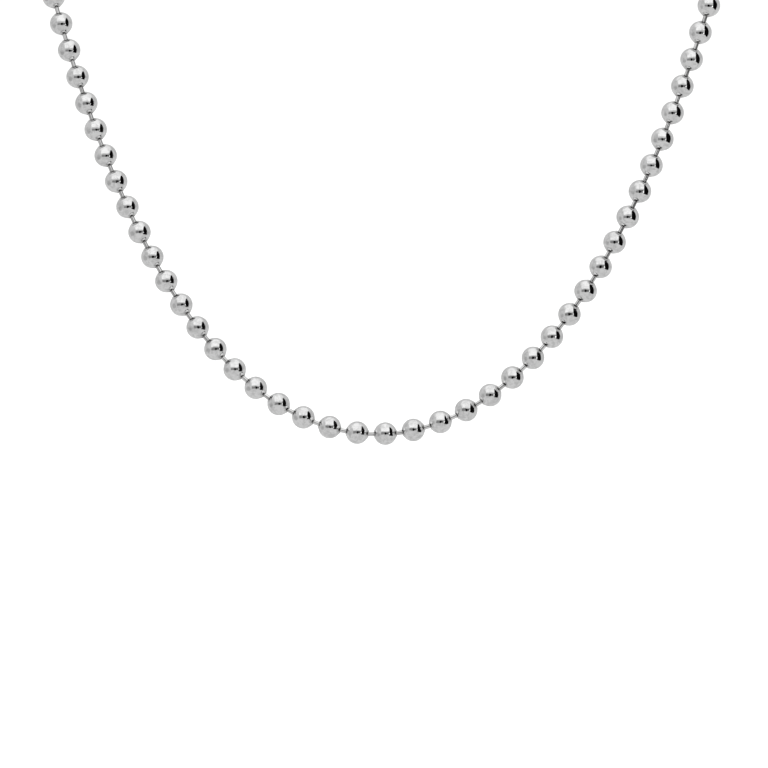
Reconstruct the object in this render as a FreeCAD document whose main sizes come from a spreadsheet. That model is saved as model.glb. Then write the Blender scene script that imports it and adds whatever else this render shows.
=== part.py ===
import FreeCAD, Part

import math
import os

import Sketcher

# A ball chain necklace as it hangs when worn: hollow beads, the dumbbell links between them, and the
# one-piece coupling that closes the loop at the nape.
# Millimetres. +Z is up, -Y is the front, and the loop is mirrored about X = 0. The origin is on the
# coupling's side towards the neck, where the nape carries the loop.

# Driving dimensions: (alias, value, meaning)
SIZES = [
    ("bead_diameter", 3.04, "round part of a bead"),
    ("bead_wall", 0.2, "thickness of a bead's metal"),
    ("bead_half_length", 1.5, "bead centre to the face of either lip"),
    ("lip_diameter", 0.94, "outside of a bead's lip"),
    ("hole_diameter", 0.86, "hole through a bead's lip"),
    ("pivot_offset", 1.45, "bead centre to the middle of a hole, where the chain bends"),
    ("bead_spacing", 3.79, "bead centre to bead centre along the loop"),
    ("bead_count", 118, "beads in the whole loop"),
    ("rod_diameter", 0.6, "wire of a link"),
    ("knob_diameter", 1.04, "ball at either end of a link"),
    ("knob_offset", 0.78, "bead centre to the centre of the knob inside it"),
    ("barrel_diameter", 4.1, "outside of the coupling"),
    ("barrel_wall", 0.3, "thickness of the coupling's metal"),
    ("barrel_seats", 6.6, "end bead to end bead inside the coupling"),
    ("barrel_hole", 1.0, "hole in either end of the coupling"),
    ("slot_width", 0.8, "slot that lets a link's rod slide to the end hole"),
    ("window_length", 3.5, "open stretch where a bead drops into the coupling"),
    ("curve_size", 22.75, "radius of the hanging curve at its low point"),
    ("front_lean", 12.0, "degrees that the front leans back, as on a chest"),
    ("shoulder_radius", 40.0, "bend over the side of the neck"),
    ("nape_rise", 18.0, "degrees that the loop climbs from the side of the neck to the nape"),
    ("chain_slip", -0.72, "how far the beads are slid round the loop from even halves"),
]


def make_sheet(doc):
    """The spreadsheet of driving dimensions, one row for each."""
    sheet = doc.addObject("Spreadsheet::Sheet", "sizes")
    for row, (alias, value, meaning) in enumerate(SIZES, start=1):
        sheet.set(f"A{row}", meaning)
        sheet.set(f"B{row}", str(value))
        sheet.setAlias(f"B{row}", alias)
    doc.recompute()
    return sheet


def new_sketch(body, name, role):
    """A sketch on one of the body's own origin planes."""
    sketch = body.newObject("Sketcher::SketchObject", name)
    plane = next(item for item in body.Origin.OriginFeatures if item.Role == role)
    sketch.AttachmentSupport = (plane, [""])
    sketch.MapMode = "FlatFace"
    return sketch


def point(x, y):
    return FreeCAD.Vector(x, y, 0)


def add_line(sketch, start, end):
    return sketch.addGeometry(Part.LineSegment(point(*start), point(*end)))


def add_arc(sketch, centre, radius, start, end):
    """An arc that turns anticlockwise from the point start to the point end."""
    first = math.atan2(start[1] - centre[1], start[0] - centre[0])
    last = math.atan2(end[1] - centre[1], end[0] - centre[0])
    circle = Part.Circle(point(*centre), FreeCAD.Vector(0, 0, 1), radius)
    return sketch.addGeometry(Part.ArcOfCircle(circle, first, last))


START, END, CENTRE = 1, 2, 3
ORIGIN, X_AXIS, Y_AXIS = (-1, 1), -1, -2


def constrain(sketch, kind, *where):
    return sketch.addConstraint(Sketcher.Constraint(kind, *where))


def dimension(sketch, name, expression, kind, *where):
    """A named dimension bound to cells of the sheet. The last value given is the one it starts from."""
    index = constrain(sketch, kind, *where)
    sketch.renameConstraint(index, name)
    sketch.setExpression(f"Constraints.{name}", expression)


def revolve(body, sketch, name):
    """The sketch turned about its own vertical axis, which is the body's Z."""
    solid = body.newObject("PartDesign::Revolution", name)
    solid.Profile = sketch
    solid.ReferenceAxis = (sketch, ["V_Axis"])
    solid.Angle = 360.0
    return solid


def cone_tangent(radius, tip):
    """Where a line from the point tip touches a circle about the origin, on the tip's outer side."""
    reach = math.hypot(*tip)
    angle = math.atan2(tip[1], tip[0]) - math.acos(radius / reach)
    return radius * math.cos(angle), radius * math.sin(angle)


def make_bead(doc, sheet):
    """One hollow bead: a ball whose metal runs out in a short cone to a lipped hole at both ends."""
    body = doc.addObject("PartDesign::Body", "bead")
    sketch = new_sketch(body, "bead_wall_section", "XZ_Plane")
    outer = sheet.bead_diameter / 2
    inner = outer - sheet.bead_wall
    hole = sheet.hole_diameter / 2
    lip = (sheet.lip_diameter / 2, sheet.bead_half_length)
    touch = cone_tangent(outer, lip)
    inside = (touch[0] * inner / outer, touch[1] * inner / outer)
    climb = (lip[1] - touch[1]) / (touch[0] - lip[0])
    throat = (hole, inside[1] + climb * (inside[0] - hole))
    ball = add_arc(sketch, (0, 0), outer, (touch[0], -touch[1]), touch)
    hollow = add_arc(sketch, (0, 0), inner, (inside[0], -inside[1]), inside)
    ends = []
    for side in (1, -1):
        corners = [(x, side * y) for x, y in (touch, lip, (hole, lip[1]), throat, inside)]
        ends.append([add_line(sketch, *pair) for pair in zip(corners, corners[1:])])
    for cone, face, bore, back in ends:
        constrain(sketch, "Coincident", cone, END, face, START)
        constrain(sketch, "Coincident", face, END, bore, START)
        constrain(sketch, "Coincident", bore, END, back, START)
        constrain(sketch, "Vertical", bore)
        constrain(sketch, "Parallel", cone, back)
    for (cone, _, _, back), arc_end in zip(ends, (END, START)):
        constrain(sketch, "Tangent", ball, arc_end, cone, START)
        constrain(sketch, "Tangent", hollow, arc_end, back, END)
    upper, lower = ends
    constrain(sketch, "Coincident", ball, CENTRE, *ORIGIN)
    constrain(sketch, "Coincident", hollow, CENTRE, *ORIGIN)
    constrain(sketch, "Horizontal", upper[1])
    constrain(sketch, "Symmetric", upper[0], END, lower[0], END, X_AXIS)
    constrain(sketch, "Symmetric", upper[1], END, lower[1], END, X_AXIS)
    dimension(sketch, "ball_radius", "sizes.bead_diameter / 2", "Radius", ball, outer)
    dimension(sketch, "hollow_radius", "sizes.bead_diameter / 2 - sizes.bead_wall", "Radius", hollow, inner)
    dimension(sketch, "lip_radius", "sizes.lip_diameter / 2", "DistanceX", *ORIGIN, upper[0], END, lip[0])
    dimension(sketch, "half_length", "sizes.bead_half_length", "DistanceY", *ORIGIN, upper[0], END, lip[1])
    dimension(sketch, "hole_radius", "sizes.hole_diameter / 2", "DistanceX", *ORIGIN, upper[1], END, hole)
    revolve(body, sketch, "bead_wall")
    return body


def make_link(doc, sheet):
    """One link: a rod with a ball at both ends, too wide to leave the beads' holes."""
    body = doc.addObject("PartDesign::Body", "link")
    sketch = new_sketch(body, "link_section", "XZ_Plane")
    rod = sheet.rod_diameter / 2
    knob = sheet.knob_diameter / 2
    centre = sheet.bead_spacing / 2 - sheet.knob_offset
    root = centre - math.sqrt(knob**2 - rod**2)
    tip = centre + knob
    low = add_arc(sketch, (0, -centre), knob, (0, -tip), (rod, -root))
    side = add_line(sketch, (rod, -root), (rod, root))
    high = add_arc(sketch, (0, centre), knob, (rod, root), (0, tip))
    axis = add_line(sketch, (0, tip), (0, -tip))
    loop = (low, side, high, axis)
    for edge, following in zip(loop, loop[1:] + loop[:1]):
        constrain(sketch, "Coincident", edge, END, following, START)
    constrain(sketch, "Vertical", side)
    constrain(sketch, "PointOnObject", axis, START, Y_AXIS)
    constrain(sketch, "PointOnObject", axis, END, Y_AXIS)
    constrain(sketch, "Equal", low, high)
    constrain(sketch, "PointOnObject", high, CENTRE, Y_AXIS)
    constrain(sketch, "Symmetric", low, CENTRE, high, CENTRE, *ORIGIN)
    dimension(sketch, "knob_radius", "sizes.knob_diameter / 2", "Radius", high, knob)
    dimension(sketch, "rod_radius", "sizes.rod_diameter / 2", "DistanceX", *ORIGIN, side, END, rod)
    between = "sizes.bead_spacing / 2 - sizes.knob_offset"
    dimension(sketch, "knob_distance", between, "DistanceY", *ORIGIN, high, CENTRE, centre)
    revolve(body, sketch, "rod_and_knobs")
    return body


def add_barrel_section(body, sheet):
    """The coupling's wall: a tube with a rounded end about each end bead, and a hole through each end."""
    sketch = new_sketch(body, "barrel_section", "XZ_Plane")
    outer = sheet.barrel_diameter / 2
    inner = outer - sheet.barrel_wall
    seat = sheet.barrel_seats / 2
    hole = sheet.barrel_hole / 2
    brim = seat + math.sqrt(outer**2 - hole**2)
    throat = seat + math.sqrt(inner**2 - hole**2)
    skin = add_line(sketch, (outer, -seat), (outer, seat))
    top = add_arc(sketch, (0, seat), outer, (outer, seat), (hole, brim))
    top_bore = add_line(sketch, (hole, brim), (hole, throat))
    top_hollow = add_arc(sketch, (0, seat), inner, (inner, seat), (hole, throat))
    tube = add_line(sketch, (inner, seat), (inner, -seat))
    low_hollow = add_arc(sketch, (0, -seat), inner, (hole, -throat), (inner, -seat))
    low_bore = add_line(sketch, (hole, -throat), (hole, -brim))
    low = add_arc(sketch, (0, -seat), outer, (hole, -brim), (outer, -seat))
    constrain(sketch, "Coincident", top, END, top_bore, START)
    constrain(sketch, "Coincident", top_bore, END, top_hollow, END)
    constrain(sketch, "Coincident", low_hollow, START, low_bore, START)
    constrain(sketch, "Coincident", low_bore, END, low, START)
    constrain(sketch, "Tangent", skin, END, top, START)
    constrain(sketch, "Tangent", top_hollow, START, tube, START)
    constrain(sketch, "Tangent", tube, END, low_hollow, END)
    constrain(sketch, "Tangent", low, END, skin, START)
    constrain(sketch, "Vertical", skin)
    constrain(sketch, "Vertical", tube)
    constrain(sketch, "Vertical", top_bore)
    constrain(sketch, "Vertical", low_bore)
    constrain(sketch, "PointOnObject", top, CENTRE, Y_AXIS)
    constrain(sketch, "Coincident", top, CENTRE, top_hollow, CENTRE)
    constrain(sketch, "Coincident", low, CENTRE, low_hollow, CENTRE)
    constrain(sketch, "Symmetric", top, CENTRE, low, CENTRE, *ORIGIN)
    dimension(sketch, "barrel_radius", "sizes.barrel_diameter / 2", "Radius", top, outer)
    inside = "sizes.barrel_diameter / 2 - sizes.barrel_wall"
    dimension(sketch, "inside_radius", inside, "Radius", top_hollow, inner)
    dimension(sketch, "seat_distance", "sizes.barrel_seats / 2", "DistanceY", *ORIGIN, top, CENTRE, seat)
    dimension(sketch, "top_hole", "sizes.barrel_hole / 2", "DistanceX", *ORIGIN, top_bore, END, hole)
    dimension(sketch, "low_hole", "sizes.barrel_hole / 2", "DistanceX", *ORIGIN, low_bore, END, hole)
    return sketch


def add_rectangle_cut(body, name, width, length, depth):
    """Cuts a rectangle, centred on the axis, out of the barrel's +X side. Each size is (value, expression)."""
    sketch = new_sketch(body, name + "_outline", "YZ_Plane")
    x, y = width[0] / 2, length[0] / 2
    corners = [(-x, -y), (x, -y), (x, y), (-x, y)]
    edges = [add_line(sketch, *pair) for pair in zip(corners, corners[1:] + corners[:1])]
    for edge, following in zip(edges, edges[1:] + edges[:1]):
        constrain(sketch, "Coincident", edge, END, following, START)
    for edge in edges[0::2]:
        constrain(sketch, "Horizontal", edge)
    for edge in edges[1::2]:
        constrain(sketch, "Vertical", edge)
    constrain(sketch, "Symmetric", edges[0], START, edges[2], START, *ORIGIN)
    dimension(sketch, "width", width[1], "DistanceX", edges[0], START, edges[0], END, width[0])
    dimension(sketch, "length", length[1], "DistanceY", edges[1], START, edges[1], END, length[0])
    cut = body.newObject("PartDesign::Pocket", name)
    cut.Profile = sketch
    cut.Length = depth[0]
    cut.setExpression("Length", depth[1])
    cut.Reversed = True
    return cut


def make_coupling(doc, sheet):
    """The coupling: a bead drops in at the window and slides along until the barrel's end holds it."""
    body = doc.addObject("PartDesign::Body", "coupling_clasp")
    barrel = revolve(body, add_barrel_section(body, sheet), "barrel")
    doc.recompute()
    whole = barrel.Shape.Volume
    across = (sheet.barrel_diameter, "sizes.barrel_diameter")
    end_to_end = (
        sheet.barrel_seats + sheet.barrel_diameter,
        "sizes.barrel_seats + sizes.barrel_diameter",
    )
    window = (sheet.window_length, "sizes.window_length")
    slot = (sheet.slot_width, "sizes.slot_width")
    wide = (sheet.barrel_diameter * 1.1, "sizes.barrel_diameter * 1.1")
    add_rectangle_cut(body, "window", wide, window, across)
    doc.recompute()
    with_window = body.Shape.Volume
    add_rectangle_cut(body, "slot", slot, end_to_end, across)
    doc.recompute()
    if not body.Shape.Volume < with_window < whole:
        raise RuntimeError("a cut in the coupling removed nothing")
    return body


class Loop:
    """The line that the chain follows, by its length from the low point, with the low point at zero.

    A hanging curve leans back in front. Then one arc turns over each side of the neck, and a half
    circle that climbs towards the back joins them behind it."""

    def __init__(self, sheet):
        self.size = sheet.curve_size
        self.lean = math.radians(sheet.front_lean)
        self.bend = sheet.shoulder_radius
        rise = math.radians(sheet.nape_rise)
        self.back = FreeCAD.Vector(0, math.cos(rise), math.sin(rise))
        chain = (sheet.bead_count - 1) * sheet.bead_spacing
        self.half = (chain + sheet.barrel_seats) / 2
        self.front_end = self.fitted_front_end()
        self.side, self.turn, self.nape_radius = self.shoulder(self.front_end)

    def front(self, along):
        """Point and direction on the hanging curve."""
        reach = math.hypot(self.size, along)
        climb = reach - self.size
        up = FreeCAD.Vector(0, math.sin(self.lean), math.cos(self.lean))
        spot = FreeCAD.Vector(self.size * math.asinh(along / self.size), 0, 0) + up * climb
        heading = (FreeCAD.Vector(self.size, 0, 0) + up * along) / reach
        return spot, heading

    def arc(self, spot, heading, towards, radius, angle):
        """Point and direction on an arc that leaves spot along heading and turns to towards."""
        there = spot + heading * (radius * math.sin(angle)) + towards * (radius * (1 - math.cos(angle)))
        return there, heading * math.cos(angle) + towards * math.sin(angle)

    def shoulder(self, front_end):
        """Start of the nape arc, the shoulder's turn and the nape's radius, for a front of this length."""
        spot, heading = self.front(front_end)
        turn = heading.getAngle(self.back)
        towards = self.sideways(heading, turn)
        side, _ = self.arc(spot, heading, towards, self.bend, turn)
        return side, turn, side.x

    def sideways(self, heading, turn):
        """The direction, square to heading, that the shoulder bends to."""
        return (self.back - heading * math.cos(turn)) / math.sin(turn)

    def fitted_front_end(self):
        """The front's length that makes half the loop as long as half the chain."""
        short, long = self.size, self.half
        while long - short > 1e-9:
            middle = (short + long) / 2
            _, turn, nape_radius = self.shoulder(middle)
            if middle + self.bend * turn + nape_radius * math.pi / 2 < self.half:
                short = middle
            else:
                long = middle
        return short

    def at(self, along):
        """The point at this length along the loop, either way round from the low point."""
        along = (along + self.half) % (2 * self.half) - self.half
        spot = self.right_half(abs(along))
        if along < 0:
            spot.x = -spot.x
        return spot

    def right_half(self, along):
        if along <= self.front_end:
            return self.front(along)[0]
        past = along - self.front_end
        if past <= self.bend * self.turn:
            spot, heading = self.front(self.front_end)
            towards = self.sideways(heading, self.turn)
            return self.arc(spot, heading, towards, self.bend, past / self.bend)[0]
        past -= self.bend * self.turn
        inwards = FreeCAD.Vector(-1, 0, 0)
        return self.arc(self.side, self.back, inwards, self.nape_radius, past / self.nape_radius)[0]

    def nape(self):
        return self.right_half(self.half)


def placed_between(start, end, facing=FreeCAD.Vector(0, 0, 1)):
    """A placement midway between two points, with Z along them and X as near facing as it can be."""
    along = (end - start).normalize()
    across = along.cross(facing)
    turn = FreeCAD.Rotation(FreeCAD.Vector(), across, along, "ZYX")
    return FreeCAD.Placement((start + end) / 2, turn)


class Chain:
    """Where each bead, each link and the coupling sit on the loop, with the origin at the nape."""

    def __init__(self, sheet):
        self.sheet = sheet
        self.loop = Loop(sheet)
        self.count = int(sheet.bead_count)
        self.seat = self.loop.nape() - self.loop.back * (sheet.barrel_diameter / 2)

    def point(self, along):
        return self.loop.at(along) - self.seat

    def bead_along(self, index):
        middle = (self.count - 1) / 2
        return self.sheet.chain_slip + (index - middle) * self.sheet.bead_spacing

    def coupling(self):
        middle = self.sheet.chain_slip + self.loop.half
        reach = self.sheet.barrel_seats / 2 + self.sheet.pivot_offset
        start, end = self.point(middle - reach), self.point(middle + reach)
        return placed_between(start, end, self.loop.back)

    def bead(self, index):
        """A bead lies between its two pivots, and an end bead lies straight in the coupling."""
        if 0 < index < self.count - 1:
            along, reach = self.bead_along(index), self.sheet.pivot_offset
            return placed_between(self.point(along - reach), self.point(along + reach))
        side = -1 if index else 1
        seat = FreeCAD.Vector(0, 0, side * self.sheet.barrel_seats / 2)
        return self.coupling() * FreeCAD.Placement(seat, FreeCAD.Rotation())

    def link(self, index):
        """The link from this bead to the next runs from pivot to pivot."""
        start = self.bead_along(index) + self.sheet.pivot_offset
        end = self.bead_along(index + 1) - self.sheet.pivot_offset
        return placed_between(self.point(start), self.point(end))


def copies(shape, placements):
    """One compound of the shape at each placement."""
    placed = []
    for placement in placements:
        copy = shape.copy()
        copy.Placement = placement
        placed.append(copy)
    return Part.makeCompound(placed)


def add_string(doc, name, template, placements):
    """A row of loose solids along the loop, as one object."""
    string = doc.addObject("Part::Feature", name)
    string.Shape = copies(template.Shape, placements)
    string.Placement = FreeCAD.Placement()
    return string


def check(doc, pieces):
    """Stops the build if anything in the document or any of the pieces is wrong."""
    wrong = [f"{item.Name} has failed" for item in doc.Objects if {"Invalid", "Error"} & set(item.State)]
    sketches = [item for item in doc.Objects if item.TypeId == "Sketcher::SketchObject"]
    wrong += [f"{item.Name} isn't fully constrained" for item in sketches if not item.FullyConstrained]
    for piece in pieces:
        if piece.Shape.isNull() or not piece.Shape.isValid():
            wrong.append(f"{piece.Label} has no valid shape")
    if wrong:
        raise RuntimeError("; ".join(wrong))


def main():
    doc = FreeCAD.newDocument("ball_chain_necklace")
    sheet = make_sheet(doc)
    bead = make_bead(doc, sheet)
    link = make_link(doc, sheet)
    clasp = make_coupling(doc, sheet)
    doc.recompute()
    check(doc, [bead, link, clasp])
    chain = Chain(sheet)
    clasp.Placement = chain.coupling()
    beads = [chain.bead(index) for index in range(chain.count)]
    links = [chain.link(index) for index in range(chain.count - 1)]
    pieces = [
        add_string(doc, "bead_string", bead, beads),
        add_string(doc, "link_string", link, links),
        clasp,
    ]
    doc.recompute()
    check(doc, pieces)
    os.makedirs("parts", exist_ok=True)
    for piece in pieces:
        piece.Shape.exportStep(f"parts/{piece.Label}.step")
        print(piece.Label, len(piece.Shape.Solids), "solids", round(piece.Shape.Volume, 2), "mm3")
    print("nape radius", round(chain.loop.nape_radius, 2), "front length", round(chain.loop.front_end, 2))


main()
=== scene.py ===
"""The ball chain necklace in its finished look: polished silver in a pale studio."""
import functools
import math
import random

import bmesh
import bpy
import numpy
from bpy.props import FloatProperty, FloatVectorProperty, IntProperty, PointerProperty
from bpy.types import Operator, Panel, PropertyGroup
from mathutils import Matrix, Vector


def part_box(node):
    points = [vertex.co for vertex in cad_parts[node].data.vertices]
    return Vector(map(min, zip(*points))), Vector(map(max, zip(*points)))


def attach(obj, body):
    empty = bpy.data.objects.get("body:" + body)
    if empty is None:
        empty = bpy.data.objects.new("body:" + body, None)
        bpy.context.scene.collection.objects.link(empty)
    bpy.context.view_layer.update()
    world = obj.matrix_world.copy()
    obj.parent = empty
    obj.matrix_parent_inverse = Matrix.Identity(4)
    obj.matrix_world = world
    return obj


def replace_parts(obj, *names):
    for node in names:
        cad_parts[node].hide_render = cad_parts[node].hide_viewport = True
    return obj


bl_info = {
    "name": "Ball Chain Necklace",
    "version": (1, 0, 0),
    "blender": (4, 5, 0),
    "location": "3D View > Sidebar > Necklace",
    "description": "Beads, links, coupling and studio of a ball chain necklace",
    "category": "Object",
}

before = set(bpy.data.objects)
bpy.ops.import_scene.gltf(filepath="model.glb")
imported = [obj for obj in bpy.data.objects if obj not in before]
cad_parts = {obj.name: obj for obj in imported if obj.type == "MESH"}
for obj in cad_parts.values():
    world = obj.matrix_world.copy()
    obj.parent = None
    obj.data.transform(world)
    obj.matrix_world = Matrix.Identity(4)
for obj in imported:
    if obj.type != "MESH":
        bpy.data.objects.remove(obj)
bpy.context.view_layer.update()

MM = 0.001
WELD_DISTANCE = 0.001 * MM


# Settings that a user would change

class ChainSizes(PropertyGroup):
    """Sizes of the beads, the links and the coupling, in metres."""

    bead_diameter: FloatProperty(
        name="Bead diameter", description="Round part of a bead", default=3.04 * MM, unit="LENGTH"
    )
    bead_wall: FloatProperty(
        name="Bead wall", description="Thickness of a bead's metal", default=0.2 * MM, unit="LENGTH"
    )
    bead_half_length: FloatProperty(
        name="Bead half length", description="Bead centre to a lip", default=1.5 * MM, unit="LENGTH"
    )
    lip_diameter: FloatProperty(
        name="Lip diameter", description="Outside of a bead's lip", default=0.94 * MM, unit="LENGTH"
    )
    hole_diameter: FloatProperty(
        name="Hole diameter", description="Hole through a bead's lip", default=0.86 * MM, unit="LENGTH"
    )
    pivot_offset: FloatProperty(
        name="Bead to pivot", description="Bead centre to where the chain bends", default=1.45 * MM,
        unit="LENGTH",
    )
    bead_spacing: FloatProperty(
        name="Bead spacing", description="Bead centre to bead centre", default=3.79 * MM, unit="LENGTH"
    )
    rod_diameter: FloatProperty(
        name="Rod diameter", description="Wire of a link", default=0.6 * MM, unit="LENGTH"
    )
    knob_diameter: FloatProperty(
        name="Knob diameter", description="Ball at either end of a link", default=1.04 * MM, unit="LENGTH"
    )
    knob_offset: FloatProperty(
        name="Bead to knob", description="Bead centre to the knob inside it", default=0.78 * MM,
        unit="LENGTH",
    )
    barrel_diameter: FloatProperty(
        name="Barrel diameter", description="Outside of the coupling", default=4.1 * MM, unit="LENGTH"
    )
    barrel_wall: FloatProperty(
        name="Barrel wall", description="Thickness of the coupling's metal", default=0.3 * MM,
        unit="LENGTH",
    )
    barrel_seats: FloatProperty(
        name="Barrel seats", description="End bead to end bead in the coupling", default=6.6 * MM,
        unit="LENGTH",
    )
    barrel_hole: FloatProperty(
        name="Barrel hole", description="Hole in either end of the coupling", default=1.0 * MM,
        unit="LENGTH",
    )
    slot_width: FloatProperty(
        name="Slot width", description="Slot that a link's rod slides in", default=0.8 * MM, unit="LENGTH"
    )
    window_length: FloatProperty(
        name="Window length", description="Open stretch of the coupling", default=3.5 * MM, unit="LENGTH"
    )
    barrel_tilt: FloatProperty(
        name="Barrel tilt", description="How far up the coupling's window faces", subtype="ANGLE",
        default=math.radians(18.0),
    )


class SilverFinish(PropertyGroup):
    """Colours and wear of the silver."""

    silver: FloatVectorProperty(
        name="Silver", description="Clean polished silver", default=(0.93, 0.93, 0.93), size=3,
        min=0.0, max=1.0, subtype="COLOR",
    )
    haze: FloatVectorProperty(
        name="Haze", description="Silver under a faint film of handling", default=(0.70, 0.70, 0.70),
        size=3, min=0.0, max=1.0, subtype="COLOR",
    )
    # The tarnish colour is also the painted shade on the beads' outsides at the lips
    tarnish_and_shade: FloatVectorProperty(
        name="Tarnish", description="Dulled silver inside the holes", default=(0.26, 0.25, 0.24), size=3,
        min=0.0, max=1.0, subtype="COLOR",
    )
    polish: FloatProperty(
        name="Polish", description="Roughness of the cleanest metal", default=0.012, min=0.0, max=1.0,
        subtype="FACTOR",
    )


class StudioSettings(PropertyGroup):
    """Camera and surroundings."""

    view_distance: FloatProperty(
        name="View distance", description="Camera to the front of the chain", default=0.849,
        unit="LENGTH",
    )
    view_azimuth: FloatProperty(
        name="View azimuth", description="How far the camera stands to the right", subtype="ANGLE",
        default=math.radians(5.7),
    )
    view_elevation: FloatProperty(
        name="View elevation", description="How far the camera looks down", subtype="ANGLE",
        default=math.radians(8.0),
    )
    view_roll: FloatProperty(
        name="View roll", description="How far the camera is turned clockwise", subtype="ANGLE",
        default=math.radians(0.6),
    )
    lens: FloatProperty(name="Lens", description="Focal length in millimetres", default=298.0)
    aim_right: FloatProperty(
        name="Aim right", description="View centre, right of the low bead", default=1.06 * MM,
        unit="LENGTH",
    )
    aim_up: FloatProperty(
        name="Aim up", description="View centre, above the low bead", default=6.60 * MM, unit="LENGTH"
    )
    floor_drop: FloatProperty(
        name="Floor drop", description="Floor below the chain's low point", default=0.06, unit="LENGTH"
    )
    bead_sides: IntProperty(
        name="Bead sides", description="Facets round a bead", default=48, min=12, max=96
    )


def sizes():
    return bpy.context.scene.necklace_sizes


def finish_settings():
    return bpy.context.scene.necklace_finish


def studio():
    return bpy.context.scene.necklace_studio


# Where the beads and links lie, read from the frame

def loose_parts(node):
    """The corner points of each loose part of a frame node."""
    mesh = bmesh.new()
    mesh.from_mesh(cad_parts[node].data)
    bmesh.ops.remove_doubles(mesh, verts=mesh.verts, dist=WELD_DISTANCE)
    reached = set()
    parts = []
    for first in mesh.verts:
        if first in reached:
            continue
        reached.add(first)
        stack = [first]
        part = []
        while stack:
            corner = stack.pop()
            part.append(corner.co.copy())
            for edge in corner.link_edges:
                other = edge.other_vert(corner)
                if other not in reached:
                    reached.add(other)
                    stack.append(other)
        parts.append(part)
    mesh.free()
    return parts


def tips(part):
    """The two ends of a long part."""
    middle = sum(part, Vector()) / len(part)
    first = max(part, key=lambda point: (point - middle).length_squared)
    second = max(part, key=lambda point: (point - first).length_squared)
    return first, second


def middle_of(ends):
    return (ends[0] + ends[1]) / 2


@functools.cache
def links_in_order():
    """Both ends of every link, in the order of the chain from one side of the coupling to the other."""
    links = [tips(part) for part in loose_parts("link_string")]
    low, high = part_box("coupling_clasp")
    gate = Vector((high.x, (low.y + high.y) / 2, (low.z + high.z) / 2))
    here = gate
    ordered = []
    while links:
        link = min(links, key=lambda ends: (middle_of(ends) - here).length)
        links.remove(link)
        if (link[1] - here).length < (link[0] - here).length:
            link = (link[1], link[0])
        ordered.append(link)
        here = middle_of(link)
    return ordered


def turned_to(direction, facing=Vector((0, 0, 1))):
    """A rotation with Z along the direction and X as near facing as it can be."""
    along = direction.normalized()
    across = along.cross(facing).normalized()
    return Matrix((across.cross(along), across, along)).transposed()


class ChainLayout:
    """Middle and direction of every link, every bead and the coupling."""

    def __init__(self):
        size = sizes()
        pairs = links_in_order()
        self.links = [(middle_of(pair), (pair[1] - pair[0]).normalized()) for pair in pairs]
        reach = size.bead_spacing / 2 - size.pivot_offset
        entries = [middle - along * reach for middle, along in self.links]
        exits = [middle + along * reach for middle, along in self.links]
        self.barrel = (middle_of((exits[-1], entries[0])), (entries[0] - exits[-1]).normalized())
        middle, along = self.barrel
        seat = size.barrel_seats / 2
        self.beads = [(middle + along * seat, along)]
        for start, end in zip(exits, entries[1:]):
            self.beads.append((middle_of((start, end)), (end - start).normalized()))
        self.beads.append((middle - along * seat, along))


# Turned shapes

# How finely arcs and rounds are divided
BEAD_SKIN_STEPS = 22
BEAD_HOLLOW_STEPS = 12
KNOB_STEPS = 10
BARREL_SKIN_STEPS = 14
BARREL_HOLLOW_STEPS = 12
LINK_SIDES = 24
BARREL_SIDES = 96

# The rounding of a lip's edges as a share of the wall, and where points stand on the way from cone to
# lip, from throat to hollow, and from the middle of a rod to its ends
LIP_ROUNDING = 0.1
FLANK_SHARES = (0.35, 0.7)
THROAT_SHARE = 0.6
SHAFT_SHARES = (-0.6, -0.3, 0.0, 0.3, 0.6)


def arc_points(radius, start, end, steps, centre=0.0):
    """Points (radius, height) on an arc about a point of the axis, by angle from the axis's plane."""
    points = []
    for step in range(steps + 1):
        angle = start + (end - start) * step / steps
        points.append((radius * math.cos(angle), centre + radius * math.sin(angle)))
    return points


def mirrored(profile):
    """The same stretch of a section at the piece's lower end, in the order that goes on round it."""
    return [(radius, -height) for radius, height in reversed(profile)]


def turned(profile, sides, closed):
    """Corners and faces of a section turned about Z. A point on the axis becomes a single corner."""
    corners = []
    rings = []
    for radius, height in profile:
        if radius == 0:
            rings.append([len(corners)] * sides)
            corners.append(Vector((0, 0, height)))
            continue
        rings.append([len(corners) + side for side in range(sides)])
        for side in range(sides):
            angle = 2 * math.pi * side / sides
            corners.append(Vector((radius * math.cos(angle), radius * math.sin(angle), height)))
    pairs = list(zip(rings, rings[1:]))
    if closed:
        pairs.append((rings[-1], rings[0]))
    faces = []
    for lower, upper in pairs:
        for side in range(sides):
            following = (side + 1) % sides
            face = [lower[side], lower[following], upper[following], upper[side]]
            faces.append(list(dict.fromkeys(face)))
    return corners, faces


def bead_section():
    """The bead's wall: ball, cone and lip outside, then the bore and the hollow inside."""
    size = sizes()
    outer = size.bead_diameter / 2
    inner = outer - size.bead_wall
    lip = Vector((size.lip_diameter / 2, size.bead_half_length))
    hole = size.hole_diameter / 2
    touch = math.atan2(lip.y, lip.x) - math.acos(outer / lip.length)
    slope = Vector((-math.sin(touch), math.cos(touch)))
    cone = Vector((outer * math.cos(touch), outer * math.sin(touch)))
    back = Vector((inner * math.cos(touch), inner * math.sin(touch)))
    throat = back + slope * ((back.x - hole) / -slope.x)
    soft = size.bead_wall * LIP_ROUNDING
    approach = slope * soft * 1.5
    tuck = Vector((-soft * 0.3, -soft * 0.2))
    inset = soft * 0.4
    flank = [cone.lerp(lip, share) for share in FLANK_SHARES]
    outer_edge = [lip - approach, lip + tuck]
    inner_edge = [Vector((hole + inset, lip.y)), Vector((hole, lip.y - soft))]
    bore = [Vector((hole, (lip.y + throat.y) / 2)), throat + Vector((0, soft))]
    rear = [throat + slope * -soft, throat.lerp(back, THROAT_SHARE)]
    upper = [tuple(point) for point in flank + outer_edge + inner_edge + bore + rear]
    skin = arc_points(outer, -touch, touch, BEAD_SKIN_STEPS)
    hollow = arc_points(inner, touch, -touch, BEAD_HOLLOW_STEPS)
    return skin + upper + hollow + mirrored(upper)


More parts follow.
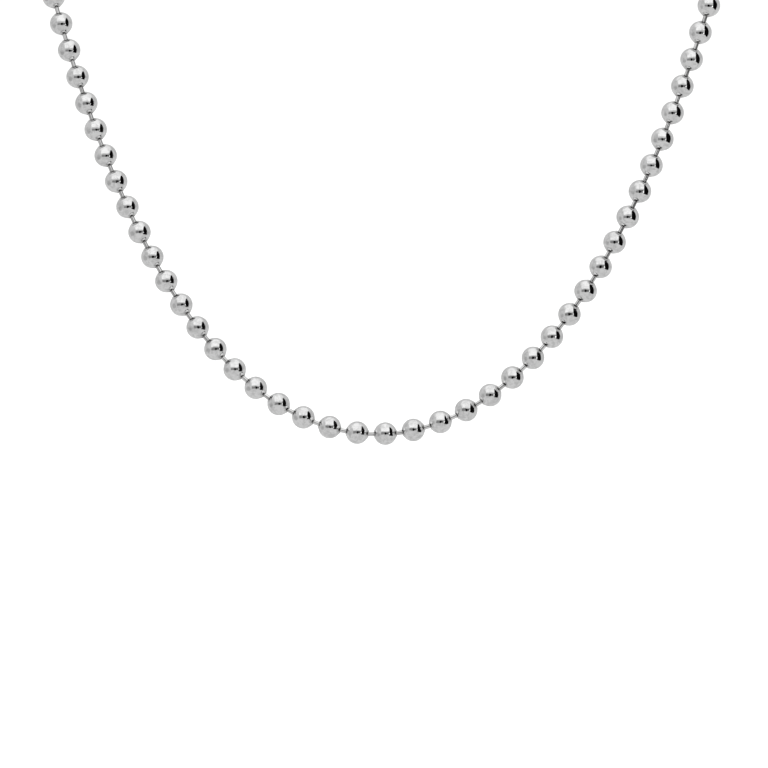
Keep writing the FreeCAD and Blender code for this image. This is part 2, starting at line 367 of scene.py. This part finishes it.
def link_section():
    """The link's rod and knobs, from the lower pole to the upper one."""
    size = sizes()
    rod = size.rod_diameter / 2
    knob = size.knob_diameter / 2
    centre = size.bead_spacing / 2 - size.knob_offset
    neck = math.acos(rod / knob)
    upper = arc_points(knob, -neck, math.pi / 2, KNOB_STEPS, centre)
    upper[-1] = (0, centre + knob)
    root = upper[0][1]
    shaft = [(rod, root * share) for share in SHAFT_SHARES]
    return mirrored(upper) + shaft + upper


def barrel_section():
    """The coupling's wall: a tube with a rounded end about each end bead and a hole through each end."""
    size = sizes()
    outer = size.barrel_diameter / 2
    inner = outer - size.barrel_wall
    seat = size.barrel_seats / 2
    hole = size.barrel_hole / 2
    skin = arc_points(outer, 0, math.acos(hole / outer), BARREL_SKIN_STEPS, seat)
    hollow = arc_points(inner, math.acos(hole / inner), 0, BARREL_HOLLOW_STEPS, seat)
    return skin + hollow + mirrored(skin + hollow)


# Meshes

CREASE = math.radians(38)
GRAIN_REACH = 90


def new_piece(name, mesh):
    """An object that rides with the necklace and is finished in its silver."""
    piece = bpy.data.objects.new(name, mesh)
    bpy.context.scene.collection.objects.link(piece)
    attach(piece, "root")
    return piece


def smooth(mesh):
    """Round shading, with the edges kept sharp where the faces turn by more than a crease."""
    mesh.polygons.foreach_set("use_smooth", [True] * len(mesh.polygons))
    mesh.set_sharp_from_angle(angle=CREASE)


def random_turn(dice):
    """A rotation about a random direction."""
    axis = Vector((dice.gauss(0, 1), dice.gauss(0, 1), dice.gauss(0, 1)))
    return Matrix.Rotation(dice.uniform(0, 2 * math.pi), 3, axis)


def mesh_of(name, corners, faces):
    """A mesh from an array of corners and a list of faces."""
    counts = [len(face) for face in faces]
    mesh = bpy.data.meshes.new(name)
    mesh.vertices.add(len(corners))
    mesh.vertices.foreach_set("co", numpy.ravel(corners).astype("f"))
    mesh.loops.add(sum(counts))
    mesh.loops.foreach_set("vertex_index", numpy.concatenate([numpy.asarray(face) for face in faces]))
    mesh.polygons.add(len(faces))
    mesh.polygons.foreach_set("loop_start", numpy.cumsum([0] + counts[:-1]))
    mesh.update(calc_edges=True)
    return mesh


def add_marks(mesh, grain, rim):
    """What the silver reads at each corner: grain, a place in texture space in millimetres, and rim, how
    dark the metal is there: tarnish in the hollows and bores, and painted shade on the beads' outsides at
    the lips."""
    space = mesh.attributes.new("grain", "FLOAT_VECTOR", "POINT")
    space.data.foreach_set("vector", numpy.ravel(grain).astype("f"))
    shade = mesh.attributes.new("rim", "FLOAT", "POINT")
    shade.data.foreach_set("value", numpy.asarray(rim).astype("f"))


def joined_copies(name, template, places, seed, rim, drawn=False):
    """One mesh of the template at each place. Each copy has its own bit of texture space. In drawn wire
    the third direction of that space stays along the wire."""
    corners = numpy.array(template[0])
    faces = template[1]
    dice = random.Random(seed)
    everywhere = []
    grain = []
    all_faces = []
    for index, (middle, along) in enumerate(places):
        spin = Matrix.Rotation(dice.uniform(0, 2 * math.pi), 3, "Z")
        turn = numpy.array(turned_to(along) @ spin)
        everywhere.append(corners @ turn.T + numpy.array(middle))
        shift = numpy.array([dice.uniform(-GRAIN_REACH, GRAIN_REACH) for _ in range(3)])
        texture_turn = Matrix.Identity(3) if drawn else random_turn(dice)
        grain.append((corners / MM) @ numpy.array(texture_turn).T + shift)
        all_faces.extend([[index * len(corners) + corner for corner in face] for face in faces])
    mesh = mesh_of(name, numpy.concatenate(everywhere), all_faces)
    rims = [rim(corner) for corner in template[0]]
    add_marks(mesh, numpy.concatenate(grain), numpy.tile(rims, len(places)))
    smooth(mesh)
    return mesh


# How dark and dull the metal is, from 0 on clean metal to 1: tarnish inside the beads, the bores and the
# coupling, painted shade on the beads' outsides at the lips, and the rods darkening into the holes. The
# bore reaches out to a share of the hole's diameter, and a rod is clean for a share of the half gap
# between two beads.

LIP_SHADE = 0.25
LIP_SHADE_HEIGHT = 0.30 * MM
BORE_SHARE = 0.51
ROD_CLEAN_SHARE = 0.9
ROD_SHADE_LENGTH = 0.25 * MM


def rise(value, start, length):
    """0 up to the start, and from there up to 1 over the length."""
    return max(0.0, min(1.0, (value - start) / length))


def rim_of_bead(corner):
    """The inside and the bore are dull with tarnish, and the outside darkens a little towards each lip:
    painted shade where the rod goes into the bead.
    """
    size = sizes()
    wall_middle = size.bead_diameter / 2 - size.bead_wall / 2
    away = math.hypot(corner.x, corner.y)
    if corner.length < wall_middle or away < size.hole_diameter * BORE_SHARE:
        return 1.0
    # The outside darkens towards each lip: painted shade where the rod goes into the bead
    start = size.bead_half_length - LIP_SHADE_HEIGHT
    return rise(abs(corner.z), start, LIP_SHADE_HEIGHT) * LIP_SHADE


def rim_of_link(corner):
    """The rod darkens towards the holes that it goes through."""
    size = sizes()
    half_gap = size.bead_spacing / 2 - size.bead_half_length
    return rise(abs(corner.z), half_gap * ROD_CLEAN_SHARE, ROD_SHADE_LENGTH)


def rim_of_barrel(corner):
    """The inside of the coupling is dull, and the outside is clean."""
    size = sizes()
    seat = size.barrel_seats / 2
    centre = Vector((0, 0, max(-seat, min(seat, corner.z))))
    wall_middle = (size.barrel_diameter - size.barrel_wall) / 2
    return 1.0 if (corner - centre).length < wall_middle else 0.0


# The pieces of the necklace

BEAD_SEED = 11
LINK_SEED = 31

# The cutters reach out past the barrel's radius, by a share of its diameter
CUTTER_REACH = 0.55
EDGE_ROUNDING = 0.05 * MM
EDGE_ANGLE = math.radians(35)


class NECKLACE_OT_beads(Operator):
    """Make the hollow beads, in four stretches of the chain"""

    bl_idname = "necklace.beads"
    bl_label = "Beads"

    def execute(self, context):
        beads = ChainLayout().beads
        template = turned(bead_section(), studio().bead_sides, closed=True)
        names = ("beads_right_of_nape", "beads_right_front", "beads_left_front", "beads_left_of_nape")
        for part, name in enumerate(names):
            first = len(beads) * part // len(names)
            last = len(beads) * (part + 1) // len(names)
            mesh = joined_copies(name, template, beads[first:last], BEAD_SEED + part, rim_of_bead)
            mesh.materials.append(bead_silver())
            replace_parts(new_piece(name, mesh), "bead_string")
        return {"FINISHED"}


class NECKLACE_OT_links(Operator):
    """Make the dumbbell links between the beads"""

    bl_idname = "necklace.links"
    bl_label = "Links"

    def execute(self, context):
        links = ChainLayout().links
        template = turned(link_section(), LINK_SIDES, closed=False)
        mesh = joined_copies("links", template, links, LINK_SEED, rim_of_link, drawn=True)
        mesh.materials.append(link_silver())
        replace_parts(new_piece("links", mesh), "link_string")
        return {"FINISHED"}


def barrel_place():
    """The barrel's middle, and its turn: Z along it and X out through its window."""
    middle, along = ChainLayout().barrel
    tilt = sizes().barrel_tilt
    return middle, turned_to(along, Vector((0, math.cos(tilt), math.sin(tilt))))


def whole_barrel(middle, turn):
    """The barrel before its window and its slot are cut."""
    corners, faces = turned(barrel_section(), BARREL_SIDES, closed=True)
    mesh = bpy.data.meshes.new("coupling_barrel")
    mesh.from_pydata([middle + turn @ corner for corner in corners], [], faces)
    mesh.polygons.foreach_set("use_smooth", [True] * len(faces))
    return new_piece("coupling_barrel", mesh)


def cutter(name, depth, half_width, half_length, place):
    """A box to cut out of the barrel, from its axis out through its window side."""
    low = Vector((0, -half_width, -half_length))
    high = Vector((depth, half_width, half_length))
    mesh = bmesh.new()
    bmesh.ops.create_cube(mesh, size=1.0)
    for corner in mesh.verts:
        corner.co = (low + high) / 2 + corner.co * (high - low)
    data = bpy.data.meshes.new(name)
    mesh.to_mesh(data)
    mesh.free()
    box = bpy.data.objects.new(name, data)
    box.matrix_world = place
    bpy.context.scene.collection.objects.link(box)
    return box


def barrel_cutters(place):
    """The boxes of the window and of the slot that a link's rod slides in."""
    size = sizes()
    clear = size.barrel_diameter * CUTTER_REACH
    half_slot = (size.barrel_seats + size.barrel_diameter) / 2
    return [
        cutter("window_cut", clear, clear, size.window_length / 2, place),
        cutter("slot_cut", clear, size.slot_width / 2, half_slot, place),
    ]


def cut_and_round(piece, cutters):
    """The piece's mesh once the boxes are cut out of it and its edges are rounded."""
    for box in cutters:
        cut = piece.modifiers.new(box.name, "BOOLEAN")
        cut.operation = "DIFFERENCE"
        cut.solver = "EXACT"
        cut.object = box
    edges = piece.modifiers.new("rounded_edges", "BEVEL")
    edges.width = EDGE_ROUNDING
    edges.segments = 3
    edges.limit_method = "ANGLE"
    edges.angle_limit = EDGE_ANGLE
    edges.harden_normals = True
    bpy.context.view_layer.update()
    shape = piece.evaluated_get(bpy.context.evaluated_depsgraph_get())
    mesh = bpy.data.meshes.new_from_object(shape)
    piece.modifiers.clear()
    piece.data = mesh
    for box in cutters:
        bpy.data.objects.remove(box)
    return mesh


class NECKLACE_OT_coupling(Operator):
    """Make the barrel coupling that closes the loop at the nape"""

    bl_idname = "necklace.coupling"
    bl_label = "Coupling"

    def execute(self, context):
        middle, turn = barrel_place()
        piece = whole_barrel(middle, turn)
        cutters = barrel_cutters(Matrix.Translation(middle) @ turn.to_4x4())
        mesh = cut_and_round(piece, cutters)
        corners = [turn.transposed() @ (vertex.co - middle) for vertex in mesh.vertices]
        add_marks(mesh, numpy.array(corners) / MM, [rim_of_barrel(corner) for corner in corners])
        mesh.materials.append(coupling_silver())
        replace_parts(piece, "coupling_clasp")
        return {"FINISHED"}


# Nodes of the finishes

# The colour sockets of a Mix node share their names with others, so they are taken by number
MIX_FIRST = 6
MIX_SECOND = 7
MIX_RESULT = 2


def feed(tree, socket, value):
    """Link a node's output to a socket, or set the socket to a plain value."""
    if isinstance(value, bpy.types.NodeSocket):
        tree.links.new(value, socket)
    else:
        socket.default_value = value


def new_node(tree, kind, inputs=None, **settings):
    """A node with its settings and its inputs, each by name or number."""
    node = tree.nodes.new(kind)
    for name, value in settings.items():
        setattr(node, name, value)
    for name, value in (inputs or {}).items():
        feed(tree, node.inputs[name], value)
    return node


def new_group(name, takes, gives):
    """An empty shader group with float or vector inputs and float outputs."""
    group = bpy.data.node_groups.new(name, "ShaderNodeTree")
    for label, kind, value in takes:
        socket = group.interface.new_socket(name=label, in_out="INPUT", socket_type=kind)
        if value is not None:
            socket.default_value = value
    for label in gives:
        group.interface.new_socket(name=label, in_out="OUTPUT", socket_type="NodeSocketFloat")
    return group, group.nodes.new("NodeGroupInput"), group.nodes.new("NodeGroupOutput")


def math_node(tree, operation, first, second, clamp=False):
    """The result of one sum on links or numbers."""
    node = new_node(tree, "ShaderNodeMath", {0: first, 1: second}, operation=operation, use_clamp=clamp)
    return node.outputs["Value"]


def noise(tree, vector, scale, detail=3.0, roughness=0.55, distortion=0.0):
    """Noise from 0 to 1."""
    inputs = {"Vector": vector, "Scale": scale, "Detail": detail, "Roughness": roughness}
    inputs["Distortion"] = distortion
    return new_node(tree, "ShaderNodeTexNoise", inputs, noise_dimensions="3D").outputs["Fac"]


def stretched(tree, vector, scale, rotation=(0.0, 0.0, 0.0)):
    """A texture's place, turned and scaled differently in its three directions."""
    inputs = {"Vector": vector, "Rotation": rotation, "Scale": scale}
    return new_node(tree, "ShaderNodeMapping", inputs).outputs["Vector"]


def spread_over(tree, value, low, high):
    """The value's range from low to high, stretched to 0 to 1 with soft ends."""
    inputs = {"Value": value, "From Min": low, "From Max": high}
    node = new_node(tree, "ShaderNodeMapRange", inputs, interpolation_type="SMOOTHSTEP")
    return node.outputs["Result"]


def mixed_colour(tree, share, first, second):
    """A colour between two, by a share."""
    inputs = {"Factor": share, MIX_FIRST: first, MIX_SECOND: second}
    return new_node(tree, "ShaderNodeMix", inputs, data_type="RGBA").outputs[MIX_RESULT]


def opaque(colour):
    return (*colour, 1.0)


# Effects that the silvers share

# The hairlines' three directions: how each is turned, and its scale across the lines
HAIRLINES = (((0.3, 0.2, 0.1), 14.0), ((1.2, 0.7, 0.4), 9.0), ((2.0, 1.9, 1.1), 18.0))
HAIRLINE_SCALE_ALONG = 0.8
DRAWN_SCALE = (3.2, 3.2, 0.25)
RINGS_PER_PATCH = 2.6
RING_STRENGTH = 0.35


def scratch_group():
    """Fine hairlines from handling: long streaks of noise in three directions."""
    group, source, result = new_group(
        "hairline_scratches",
        [("Vector", "NodeSocketVector", None), ("Density", "NodeSocketFloat", 1.0)],
        ["Height", "Mask"],
    )
    vector = source.outputs["Vector"]
    density = source.outputs["Density"]
    total = 0.0
    for turn, across in HAIRLINES:
        place = stretched(group, vector, (across, across, HAIRLINE_SCALE_ALONG), turn)
        streaks = noise(group, place, density, detail=2.0, roughness=0.5, distortion=0.15)
        line = spread_over(group, streaks, low=0.64, high=0.72)
        total = math_node(group, "MAXIMUM", total, line)
    feed(group, result.inputs["Mask"], total)
    feed(group, result.inputs["Height"], math_node(group, "MULTIPLY", total, -1.0))
    return group


def drawing_group():
    """The lines that the drawing die leaves along a wire, with the dark that stays in them."""
    group, source, result = new_group("drawing_lines", [("Vector", "NodeSocketVector", None)], ["Mask"])
    place = stretched(group, source.outputs["Vector"], DRAWN_SCALE)
    lines = noise(group, place, scale=1.0, detail=2.0, roughness=0.6)
    feed(group, result.inputs["Mask"], spread_over(group, lines, low=0.40, high=0.60))
    return group


def handling_group():
    """Handling: a patchy film with the faint rings of touches in it, and the shallow dents of use."""
    group, source, result = new_group(
        "handling_film",
        [("Vector", "NodeSocketVector", None), ("Patch Scale", "NodeSocketFloat", 1.5)],
        ["Film", "Dents"],
    )
    vector = source.outputs["Vector"]
    scale = source.outputs["Patch Scale"]
    mottle = noise(group, vector, scale, detail=4.0, roughness=0.7, distortion=0.4)
    patches = spread_over(group, mottle, low=0.40, high=0.66)
    ripples = {"Distortion": 5.0, "Detail": 2.0, "Detail Scale": 0.8}
    rings = new_node(
        group, "ShaderNodeTexWave",
        {"Vector": vector, "Scale": math_node(group, "MULTIPLY", scale, RINGS_PER_PATCH), **ripples},
        wave_type="RINGS", rings_direction="SPHERICAL",
    )
    touched = spread_over(group, noise(group, vector, scale=0.7, detail=1.0), low=0.50, high=0.62)
    touches = math_node(group, "MULTIPLY", rings.outputs["Fac"], touched)
    faint = math_node(group, "MULTIPLY", touches, RING_STRENGTH)
    feed(group, result.inputs["Film"], math_node(group, "ADD", patches, faint, clamp=True))
    feed(group, result.inputs["Dents"], noise(group, vector, scale=0.9, detail=1.5, roughness=0.5))
    return group


def shared_group(name):
    """One of the node groups that every silver uses, built the first time."""
    makers = {
        "hairline_scratches": scratch_group,
        "handling_film": handling_group,
        "drawing_lines": drawing_group,
    }
    return bpy.data.node_groups.get(name) or makers[name]()


# The silvers

# What each effect adds to the roughness of the polish
FILM_ROUGHNESS = 0.04
HAIRLINE_ROUGHNESS = 0.06
# The tarnish mask also carries the painted shade at the beads' lips
TARNISH_AND_SHADE_ROUGHNESS = 0.15
LEAST_TARNISH_AND_SHADE = 0.45


def effect(tree, name, vector, **inputs):
    """A shared effect's node in a material."""
    return new_node(
        tree, "ShaderNodeGroup", {"Vector": vector, **inputs}, node_tree=shared_group(name)
    )


def tarnish_and_shade_share(tree, grain, rim, rim_darkening):
    """How far the metal goes to the dark colour by the rim mark, a little speckled: tarnish in the
    hollows, and painted shade at the beads' lips.
    """
    speckle = spread_over(tree, noise(tree, grain, scale=5.0, detail=3.0), low=0.25, high=0.65)
    strength = math_node(tree, "ADD", speckle, LEAST_TARNISH_AND_SHADE)
    return math_node(tree, "MULTIPLY", math_node(tree, "MULTIPLY", rim, rim_darkening), strength, clamp=True)


def roughness_of(tree, film, hairlines, tarnish_and_shade):
    """The polish's own roughness and what the three effects add to it."""
    total = finish_settings().polish
    shares = ((film, FILM_ROUGHNESS), (hairlines, HAIRLINE_ROUGHNESS), (tarnish_and_shade, TARNISH_AND_SHADE_ROUGHNESS))
    for mask, share in shares:
        total = math_node(tree, "ADD", math_node(tree, "MULTIPLY", mask, share), total)
    return total


def silver(name, dents, scratches, film, density, rim_darkening, drawing=0.0):
    """Polished silver: film, tarnish and painted shade at the lips in its colour, hairlines and shallow
    dents in its surface.
    """
    found = bpy.data.materials.get(name)
    if found:
        return found
    finish = finish_settings()
    material = bpy.data.materials.new(name)
    material.use_nodes = True
    tree = material.node_tree
    grain = new_node(tree, "ShaderNodeAttribute", attribute_name="grain").outputs["Vector"]
    rim = new_node(tree, "ShaderNodeAttribute", attribute_name="rim").outputs["Fac"]
    marks = effect(tree, "hairline_scratches", grain, Density=density)
    touch = effect(tree, "handling_film", grain)
    dull = tarnish_and_shade_share(tree, grain, rim, rim_darkening)
    dark = dull
    if drawing:
        lines = effect(tree, "drawing_lines", grain)
        kept = math_node(tree, "MULTIPLY", lines.outputs["Mask"], drawing)
        dark = math_node(tree, "ADD", dull, kept, clamp=True)
    filmed = math_node(tree, "MULTIPLY", touch.outputs["Film"], film)
    clean = mixed_colour(tree, filmed, opaque(finish.silver), opaque(finish.haze))
    cuts = math_node(tree, "MULTIPLY", marks.outputs["Height"], scratches)
    hollows = math_node(tree, "MULTIPLY", touch.outputs["Dents"], dents)
    height = math_node(tree, "ADD", cuts, hollows)
    bump = new_node(tree, "ShaderNodeBump", {"Height": height, "Strength": 1.0, "Distance": MM})
    shader = tree.nodes["Principled BSDF"]
    shader.inputs["Metallic"].default_value = 1.0
    feed(tree, shader.inputs["Base Color"], mixed_colour(tree, dark, clean, opaque(finish.tarnish_and_shade)))
    rough = roughness_of(tree, touch.outputs["Film"], marks.outputs["Mask"], dull)
    feed(tree, shader.inputs["Roughness"], rough)
    feed(tree, shader.inputs["Normal"], bump.outputs["Normal"])
    return material


# rim_darkening is the strength of the rim mark: tarnish in the hollows and painted shade at the beads'
# lips
def bead_silver():
    return silver("bead_silver", dents=0.05, scratches=0.0006, film=0.85, density=1.6, rim_darkening=0.9)


def link_silver():
    return silver(
        "link_silver", dents=0.01, scratches=0.0004, film=0.3, density=2.4, rim_darkening=0.8, drawing=0.38
    )


def coupling_silver():
    return silver("coupling_silver", dents=0.04, scratches=0.0012, film=0.7, density=1.2, rim_darkening=0.6)


# Places in the studio

DISC_SIDES = 48
OVAL_SIDES = 32


def view_axes():
    """The camera's right, up and towards directions."""
    setting = studio()
    side = setting.view_azimuth
    climb = setting.view_elevation
    level = math.cos(climb)
    towards = Vector((math.sin(side) * level, -math.cos(side) * level, math.sin(climb)))
    right = Vector((math.cos(side), math.sin(side), 0))
    return right, towards.cross(right), towards


@functools.cache
def low_point():
    """The lowest place of the chain's centre line."""
    low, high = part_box("bead_string")
    half = sizes().bead_diameter / 2
    return Vector(((low.x + high.x) / 2, low.y + half, low.z + half))


def studio_point(right, towards, up):
    """A point given in metres from the chain's low point, along the camera's own axes."""
    axes = view_axes()
    return low_point() + axes[0] * right + axes[1] * up + axes[2] * towards


def round_about(sides):
    """Cosine and sine of each of the even turns of a whole round."""
    turns = [2 * math.pi * side / sides for side in range(sides)]
    return [(math.cos(turn), math.sin(turn)) for turn in turns]


def disc(middle, radius):
    """Corners of a round card that faces the necklace."""
    right, towards, up = middle
    return [(right + radius * a, towards, up + radius * b) for a, b in round_about(DISC_SIDES)]


def upright_disc(middle, half_depth, half_height):
    """Corners of an oval card beside the necklace, square to the camera's right."""
    right, towards, up = middle
    return [(right, towards + half_depth * a, up + half_height * b) for a, b in round_about(OVAL_SIDES)]


# The cards that the silver mirrors. A place is in metres from the chain's low point: to the camera's
# right, towards the camera, and up.

LENS_MIDDLE = (0.010, 0.300, 0.020)
LENS_RADIUS = 0.076
LEFT_BAND = ((-0.23, 0.25, -0.035), (0.0, 0.31, -0.04), (0.0, 0.31, 0.095), (-0.23, 0.25, 0.085))
RIGHT_BAND = ((0.0, 0.31, -0.035), (0.22, 0.28, -0.03), (0.22, 0.28, 0.08), (0.0, 0.31, 0.095))
FRONT_PANEL = ((-0.85, 0.9, 0.46), (1.1, 0.9, 0.46), (1.1, 0.5, 1.0), (-0.85, 0.5, 1.0))
GLINT_MIDDLE = (0.172, 0.207, 0.011)
GLINT_RADIUS = 0.020

# The flag's outline, to the right and up. It is one flat card, upright, that starts beside the chain
# and comes towards the camera as it goes right.
FLAG_START = 0.2
FLAG_SLANT = 0.686 / 0.42
FLAG_OUTLINE = (
    (0.2, -0.055), (0.275, -0.11), (0.35, -0.145), (0.62, -0.34), (0.62, 0.22),
    (0.5, 0.34), (0.425, 0.385), (0.35, 0.39), (0.275, 0.365), (0.2, 0.295),
)

# Ovals at the left, one before the other, that fade into a soft shade: half height and glow
SHADE_OVALS = ((0.085, 0.49), (0.065, 0.45), (0.045, 0.41))
SHADE_MIDDLE = (-0.25, 0.04, -0.02)
SHADE_STEP = 0.004
SHADE_DEPTH_TO_HEIGHT = 1.5


def flag_corners():
    return [(right, (right - FLAG_START) * FLAG_SLANT, up) for right, up in FLAG_OUTLINE]


def studio_cards():
    """Name, glow and corners of every card."""
    cards = [
        ("lens_card", 0.0, disc(LENS_MIDDLE, LENS_RADIUS)),
        ("left_band", 0.24, LEFT_BAND),
        ("right_band", 0.13, RIGHT_BAND),
        ("front_panel", 0.98, FRONT_PANEL),
        ("black_flag", 0.002, flag_corners()),
        ("small_glint", 2.2, disc(GLINT_MIDDLE, GLINT_RADIUS)),
    ]
    for step, (half_height, glow) in enumerate(SHADE_OVALS):
        right, towards, up = SHADE_MIDDLE
        middle = (right + SHADE_STEP * step, towards, up)
        corners = upright_disc(middle, half_height * SHADE_DEPTH_TO_HEIGHT, half_height)
        cards.append((f"left_shade_{step}", glow, corners))
    return cards


# The studio

FLOOR_COLOUR = (0.92, 0.92, 0.92)
FLOOR_HALF_WIDTH = 12.0
BACKDROP_STRENGTH = 1.1
SENSOR_WIDTH = 36.0
SOFTBOX_OFFSET = Vector((0.0, -0.3, 1.3))

# What metal mirrors far off, from straight down at 0 to straight up at 1: height and grey
SKY_STOPS = ((0.0, 0.62), (0.35, 0.62), (0.5, 0.56), (0.84, 0.61), (0.92, 0.88), (1.0, 0.96))


def plain_material(name, colour, glow=0.0):
    """A matt or glowing paper for the studio."""
    material = bpy.data.materials.new(name)
    material.use_nodes = True
    shader = material.node_tree.nodes["Principled BSDF"]
    shader.inputs["Base Color"].default_value = opaque(colour)
    shader.inputs["Roughness"].default_value = 0.9
    shader.inputs["Specular IOR Level"].default_value = 0.0
    shader.inputs["Emission Color"].default_value = (1.0, 1.0, 1.0, 1.0)
    shader.inputs["Emission Strength"].default_value = glow
    return material


def add_card(name, glow, corners):
    """A flat card of the studio that only mirrors see. Its corners are studio points."""
    mesh = bpy.data.meshes.new(name)
    mesh.from_pydata([studio_point(*corner) for corner in corners], [], [list(range(len(corners)))])
    mesh.materials.append(plain_material(name, (0.0, 0.0, 0.0), glow))
    card = bpy.data.objects.new(name, mesh)
    bpy.context.scene.collection.objects.link(card)
    for ray in ("camera", "diffuse", "transmission", "shadow"):
        setattr(card, "visible_" + ray, False)


def add_floor():
    """A wide pale floor below the necklace."""
    half = FLOOR_HALF_WIDTH
    height = low_point().z - studio().floor_drop
    corners = [(-half, -half, height), (half, -half, height), (half, half, height), (-half, half, height)]
    mesh = bpy.data.meshes.new("floor")
    mesh.from_pydata(corners, [], [[0, 1, 2, 3]])
    mesh.materials.append(plain_material("floor_paper", FLOOR_COLOUR))
    floor = bpy.data.objects.new("floor", mesh)
    floor.visible_glossy = False
    bpy.context.scene.collection.objects.link(floor)


def add_softbox(name, place, aim, width, depth, power):
    """A soft rectangular light that metal doesn't mirror."""
    data = bpy.data.lights.new(name, "AREA")
    data.shape = "RECTANGLE"
    data.size = width
    data.size_y = depth
    data.energy = power
    light = bpy.data.objects.new(name, data)
    light.location = place
    light.rotation_euler = (aim - place).to_track_quat("-Z", "Y").to_euler()
    light.visible_glossy = False
    light.visible_camera = False
    bpy.context.scene.collection.objects.link(light)


def sky_by_height(tree):
    """A bright ceiling over grey walls and a paler floor."""
    place = new_node(tree, "ShaderNodeTexCoord").outputs["Generated"]
    split = new_node(tree, "ShaderNodeSeparateXYZ", {0: place})
    inputs = {"Value": split.outputs["Z"], "From Min": -1.0, "From Max": 1.0}
    height = new_node(tree, "ShaderNodeMapRange", inputs).outputs["Result"]
    ramp = new_node(tree, "ShaderNodeValToRGB", {"Fac": height})
    elements = ramp.color_ramp.elements
    while len(elements) < len(SKY_STOPS):
        elements.new(0.5)
    for element, (position, grey) in zip(elements, SKY_STOPS):
        element.position = position
        element.color = (grey, grey, grey, 1.0)
    return ramp.outputs["Color"]


def add_world():
    """White all round to the camera and the floor, and the grey studio to mirrors."""
    world = bpy.data.worlds.new("studio_world")
    bpy.context.scene.world = world
    world.use_nodes = True
    tree = world.node_tree
    backdrop = tree.nodes["Background"]
    backdrop.inputs["Color"].default_value = (1.0, 1.0, 1.0, 1.0)
    backdrop.inputs["Strength"].default_value = BACKDROP_STRENGTH
    mirrored_sky = new_node(tree, "ShaderNodeBackground", {"Color": sky_by_height(tree)})
    path = new_node(tree, "ShaderNodeLightPath")
    mix = new_node(tree, "ShaderNodeMixShader", {"Fac": path.outputs["Is Glossy Ray"]})
    feed(tree, mix.inputs[1], backdrop.outputs["Background"])
    feed(tree, mix.inputs[2], mirrored_sky.outputs["Background"])
    feed(tree, tree.nodes["World Output"].inputs["Surface"], mix.outputs["Shader"])


def add_camera():
    """The camera at the photograph's angle, turned a little about its own axis."""
    setting = studio()
    level, upright, towards = view_axes()
    roll = setting.view_roll
    right = level * math.cos(roll) - upright * math.sin(roll)
    up = level * math.sin(roll) + upright * math.cos(roll)
    data = bpy.data.cameras.new("camera")
    data.lens = setting.lens
    data.sensor_width = SENSOR_WIDTH
    data.clip_start = 0.01
    data.clip_end = 100.0
    camera = bpy.data.objects.new("camera", data)
    aim = studio_point(setting.aim_right, 0.0, setting.aim_up)
    turn = Matrix((right, up, towards)).transposed()
    camera.matrix_world = Matrix.Translation(aim + towards * setting.view_distance) @ turn.to_4x4()
    bpy.context.scene.collection.objects.link(camera)
    bpy.context.scene.camera = camera


class NECKLACE_OT_studio(Operator):
    """Make the floor, the lights, the cards that the silver mirrors, and the camera"""

    bl_idname = "necklace.studio"
    bl_label = "Studio"

    def execute(self, context):
        context.scene.view_settings.view_transform = "Standard"
        add_floor()
        add_world()
        add_camera()
        for name, glow, corners in studio_cards():
            add_card(name, glow, corners)
        above = low_point() + SOFTBOX_OFFSET
        add_softbox("overhead_softbox", above, low_point(), width=1.6, depth=1.2, power=9.0)
        return {"FINISHED"}


# The add-on

class NECKLACE_PT_panel(Panel):
    """Sizes, finish and steps of the necklace"""

    bl_label = "Ball Chain Necklace"
    bl_idname = "NECKLACE_PT_panel"
    bl_space_type = "VIEW_3D"
    bl_region_type = "UI"
    bl_category = "Necklace"

    def draw(self, context):
        layout = self.layout
        for step in STEPS:
            layout.operator(step.bl_idname)
        for group in (sizes(), finish_settings(), studio()):
            box = layout.box()
            for name in group.bl_rna.properties.keys():
                if name not in ("rna_type", "name"):
                    box.prop(group, name)


STEPS = (NECKLACE_OT_beads, NECKLACE_OT_links, NECKLACE_OT_coupling, NECKLACE_OT_studio)
CLASSES = (ChainSizes, SilverFinish, StudioSettings, *STEPS, NECKLACE_PT_panel)


def register():
    for item in CLASSES:
        bpy.utils.register_class(item)
    bpy.types.Scene.necklace_sizes = PointerProperty(type=ChainSizes)
    bpy.types.Scene.necklace_finish = PointerProperty(type=SilverFinish)
    bpy.types.Scene.necklace_studio = PointerProperty(type=StudioSettings)


def unregister():
    del bpy.types.Scene.necklace_studio
    del bpy.types.Scene.necklace_finish
    del bpy.types.Scene.necklace_sizes
    for item in reversed(CLASSES):
        bpy.utils.unregister_class(item)


def main():
    register()
    bpy.ops.necklace.beads()
    bpy.ops.necklace.links()
    bpy.ops.necklace.coupling()
    bpy.ops.necklace.studio()
    bpy.context.view_layer.update()


if __name__ == "__main__":
    main()
